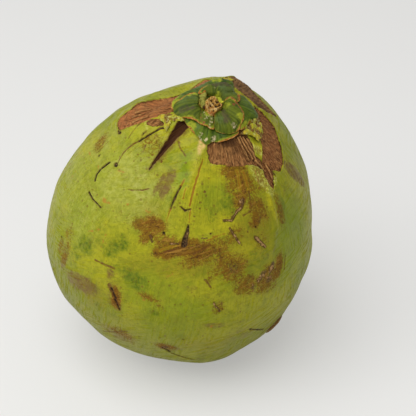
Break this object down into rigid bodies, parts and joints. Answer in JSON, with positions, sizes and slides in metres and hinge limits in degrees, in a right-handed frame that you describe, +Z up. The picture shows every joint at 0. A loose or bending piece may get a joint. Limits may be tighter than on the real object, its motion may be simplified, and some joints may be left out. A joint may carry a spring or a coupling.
{
  "type": "green coconut",
  "caption": "Whole young green coconut in its smooth three-ridged husk, with the calyx and stalk scar on its crown, lying tipped on a small flat spot.",
  "frame": {"origin": "middle of the small flat spot of the husk that the coconut rests on", "axes": "+Z straight up from the surface it rests on; the crown with the calyx leans towards -Y, the front, and a little towards +X, the right"},
  "size_m": [0.1775, 0.1806, 0.201],
  "materials": {
    "husk_skin": "smooth waxy green skin, satin, with brown fibrous scars and scratches",
    "petal": "leathery dark green, satin, with dry orange-brown edges",
    "sepal": "leathery green, satin, with grey-brown worn patches and dry edges",
    "bracteole": "dull khaki-green dry scale",
    "stalk": "rough broken woody end, tan with dark pits"
  },
  "bodies": {
    "root": {"husk": "husk_skin", "petal_back": "petal", "petal_right": "petal", "petal_front": "petal", "sepal_left": "sepal", "sepal_back": "sepal", "sepal_front": "sepal", "bracteole_left": "bracteole", "bracteole_right": "bracteole", "stalk_stub": "stalk"}
  },
  "joints": []
}
